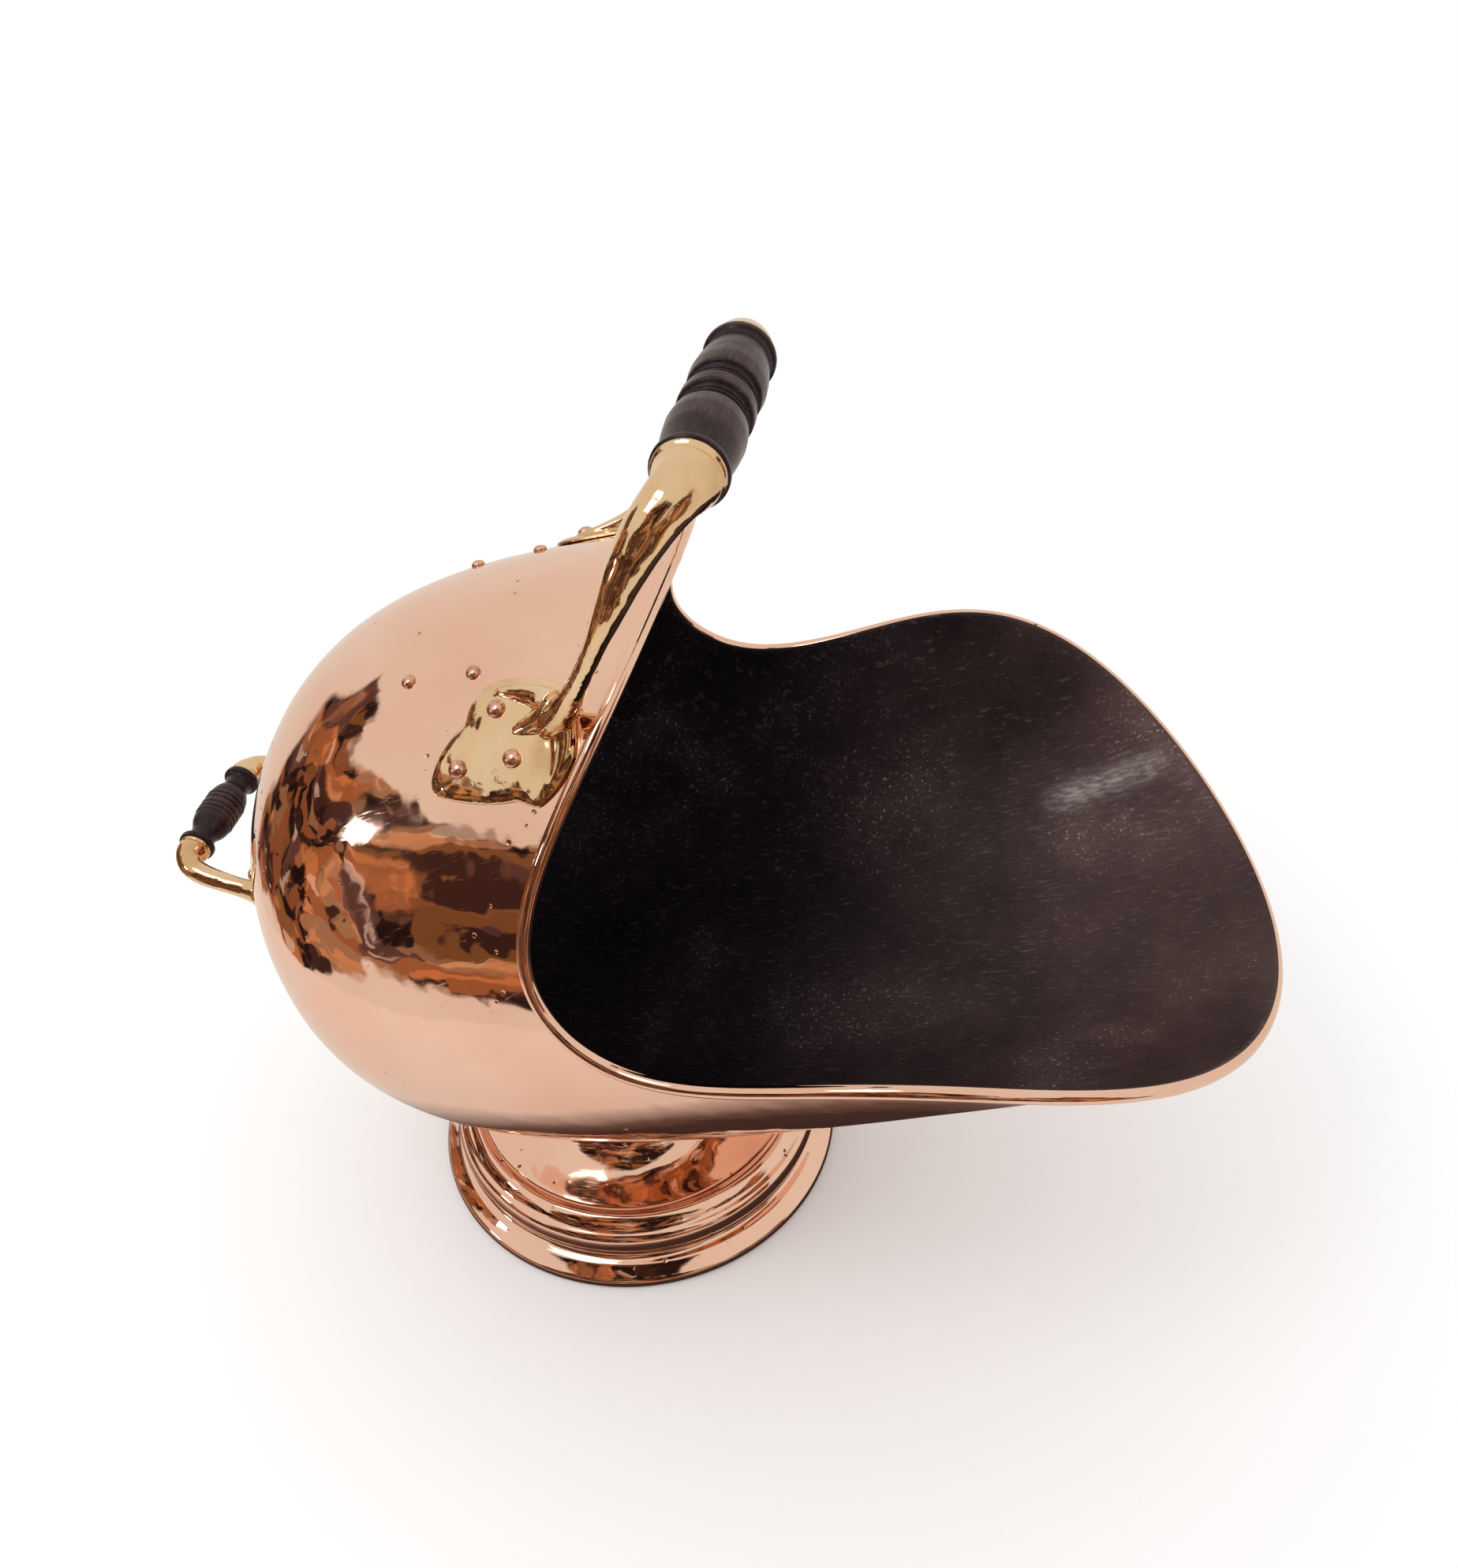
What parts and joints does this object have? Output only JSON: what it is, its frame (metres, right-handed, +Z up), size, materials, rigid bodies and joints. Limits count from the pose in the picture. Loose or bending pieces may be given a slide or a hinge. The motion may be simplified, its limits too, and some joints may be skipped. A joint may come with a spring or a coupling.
{
  "type": "coal scuttle",
  "caption": "Helmet coal scuttle in copper on a spun pedestal foot, with cast brass arms, a turned wooden carrying grip and a smaller rear tipping grip.",
  "frame": {"origin": "on the floor, under the middle of the overall length and width", "axes": "+Z up, +X towards the pouring lip, +Y towards the scuttle's left side"},
  "size_m": [0.5104, 0.3086, 0.4403],
  "materials": {
    "copper": "polished copper sheet with wear, darkened inside",
    "brass": "polished cast brass",
    "ebonised_wood": "ebonised and waxed, worn on the edges",
    "iron": "black wrought iron"
  },
  "bodies": {
    "scuttle": {"body_shell": "copper", "rim_wire": "iron", "foot": "copper", "foot_wire": "iron", "arm_right": "brass", "arm_left": "brass", "doubler_right": "copper", "doubler_left": "copper", "handle_rod": "iron", "palm_rivet_right_1": "copper", "palm_rivet_left_1": "copper", "palm_rivet_right_2": "copper", "palm_rivet_left_2": "copper", "palm_rivet_right_3": "copper", "palm_rivet_left_3": "copper", "hood_rivet_right_1": "copper", "hood_rivet_left_1": "copper", "hood_rivet_right_2": "copper", "hood_rivet_left_2": "copper", "rear_arm_right": "brass", "rear_arm_left": "brass", "rear_rod": "iron", "rear_rivet_right_1": "copper", "rear_rivet_left_1": "copper", "rear_rivet_right_2": "copper", "rear_rivet_left_2": "copper"},
    "carrying_grip": {"handle_grip": "ebonised_wood"},
    "tipping_grip": {"rear_grip": "ebonised_wood"}
  },
  "joints": [
    {"name": "handle_grip_spin", "type": "hinge", "parent": "scuttle", "child": "carrying_grip", "pos_m": [0.01476, 0, 0.42546], "axis": [0, 1, 0], "continuous": true},
    {"name": "rear_grip_spin", "type": "hinge", "parent": "scuttle", "child": "tipping_grip", "pos_m": [-0.24564, 0, 0.2005], "axis": [0, 1, 0], "continuous": true}
  ]
}
